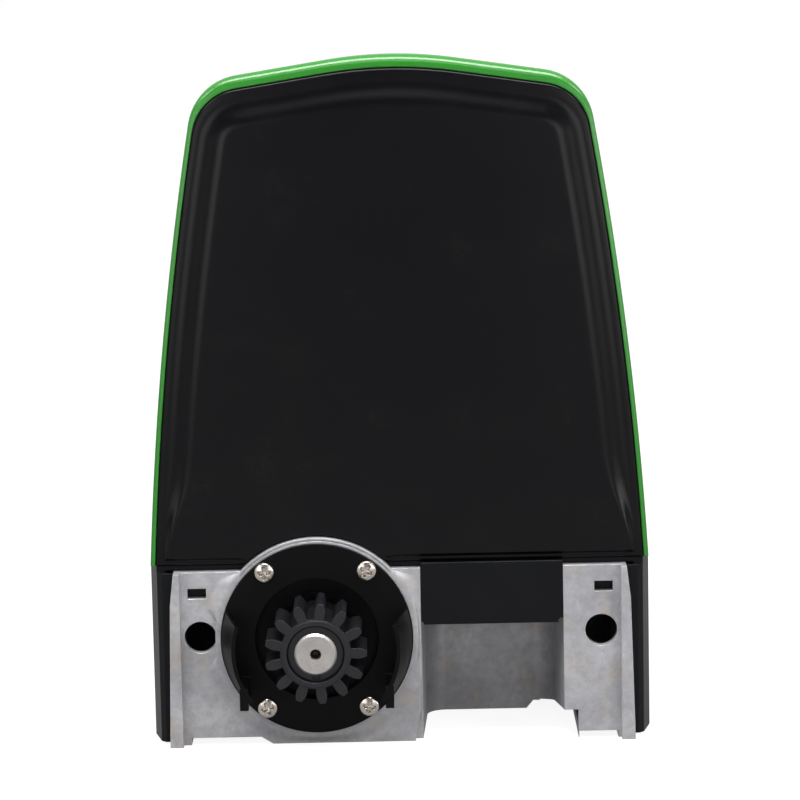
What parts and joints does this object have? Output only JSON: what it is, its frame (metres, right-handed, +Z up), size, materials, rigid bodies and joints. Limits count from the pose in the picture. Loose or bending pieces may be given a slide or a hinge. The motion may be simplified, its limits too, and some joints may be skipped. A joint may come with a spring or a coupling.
{
  "type": "sliding gate motor",
  "caption": "Sliding gate motor with a die-cast base, toothed rack pinion in a side-walled guard, worm gearbox, release door and a lift-off cover.",
  "frame": {"origin": "on the base plane, under the middle of the body's width and depth", "axes": "+X along the gate, to the right seen from the pinion side; -Y towards the gate (pinion side); +Z up"},
  "size_m": [0.2988, 0.2555, 0.41],
  "materials": {
    "cast_aluminium": "fine as-cast",
    "black_plastic": "satin moulded",
    "panel_plastic": "fine texture",
    "guard_plastic": "satin moulded",
    "green_plastic": "gloss",
    "zinc_screws": "bright zinc",
    "steel": "ground",
    "dark_steel": "blackened",
    "bronze": "machined",
    "rubber": "matte",
    "motor_paint": "satin",
    "battery_plastic": "satin",
    "zinc_sheet": "zinc-plated sheet",
    "grey_plastic": "satin",
    "clear_pane": "clear",
    "board": "lacquered",
    "button_plastic": "satin",
    "terminal_plastic": "satin",
    "core_steel": "varnished laminations",
    "fuse_glass": "clear"
  },
  "bodies": {
    "housing": {"base_casting": "cast_aluminium", "chassis": "black_plastic", "pinion_guard": "guard_plastic", "guard_screws": "zinc_screws", "oil_seal": "rubber", "front_bearing": "steel", "rear_bearing": "steel", "worm_lower_bearing": "steel", "worm_upper_bearing": "steel", "gearbox_lid": "cast_aluminium", "lid_gasket": "rubber", "lid_screws": "zinc_screws", "rod_bush": "bronze", "hinge_pin": "steel", "motor_flange": "cast_aluminium", "motor_screws": "zinc_screws", "motor_can": "motor_paint", "motor_end_cap": "black_plastic", "motor_terminals": "bronze", "cable_grommet": "rubber", "chassis_screws": "zinc_screws", "battery": "battery_plastic", "battery_terminals": "steel", "battery_strap": "rubber", "control_bracket": "zinc_sheet", "control_box": "grey_plastic", "control_lid": "grey_plastic", "display_pane": "clear_pane", "circuit_board": "board", "terminal_block": "terminal_plastic", "transformer": "core_steel", "fuse_holder": "terminal_plastic", "fuse": "fuse_glass", "origin_sensor": "black_plastic"},
    "cover": {"cover_shell": "green_plastic", "back_panel": "panel_plastic"},
    "output": {"output_shaft": "steel", "pinion": "dark_steel", "pinion_key": "steel", "retaining_ring": "dark_steel", "worm_wheel": "bronze", "thrust_washer": "bronze", "spring_stop": "steel", "clutch_spring": "steel"},
    "worm_drive": {"worm": "steel"},
    "clutch": {"clutch_ring": "steel", "clutch_pin": "steel"},
    "rod": {"release_rod": "steel"},
    "door": {"release_door": "black_plastic"},
    "lock": {"lock_barrel": "zinc_screws"},
    "key_left": {"button_left": "button_plastic"},
    "key_middle": {"button_middle": "button_plastic"},
    "key_right": {"button_right": "button_plastic"}
  },
  "joints": [
    {"name": "cover_lift", "type": "slide", "parent": "housing", "child": "cover", "axis": [0, 0, 1], "range_m": [0, 0.32]},
    {"name": "output_spin", "type": "hinge", "parent": "housing", "child": "output", "pos_m": [-0.05, 0, 0.065], "axis": [0, 1, 0], "continuous": true},
    {"name": "worm_spin", "type": "hinge", "parent": "housing", "child": "worm_drive", "pos_m": [0, 0, 0.065], "axis": [0, 0, 1], "continuous": true},
    {"name": "release_swing", "type": "hinge", "parent": "housing", "child": "door", "pos_m": [-0.05, 0.097, 0.065], "axis": [0, 0, 1], "range_deg": [0, 90]},
    {"name": "lock_turn", "type": "hinge", "parent": "door", "child": "lock", "pos_m": [0.016, 0.105, 0.062], "axis": [0, 1, 0], "range_deg": [0, 90]},
    {"name": "rod_push", "type": "slide", "parent": "housing", "child": "rod", "axis": [0, -1, 0], "range_m": [0, 0.005]},
    {"name": "clutch_shift", "type": "slide", "parent": "output", "child": "clutch", "axis": [0, -1, 0], "range_m": [0, 0.005]},
    {"name": "press_left", "type": "slide", "parent": "housing", "child": "key_left", "axis": [0, -1, 0], "range_m": [0, 0.001], "stiffness_N_per_m": 160},
    {"name": "press_middle", "type": "slide", "parent": "housing", "child": "key_middle", "axis": [0, -1, 0], "range_m": [0, 0.001], "stiffness_N_per_m": 160},
    {"name": "press_right", "type": "slide", "parent": "housing", "child": "key_right", "axis": [0, -1, 0], "range_m": [0, 0.001], "stiffness_N_per_m": 160}
  ],
  "couplings": [
    {"joint": "worm_spin", "follows": "output_spin", "ratio": 30},
    {"joint": "rod_push", "follows": "release_swing", "m_per_rad": 0.00318},
    {"joint": "clutch_shift", "follows": "release_swing", "m_per_rad": 0.00318}
  ]
}
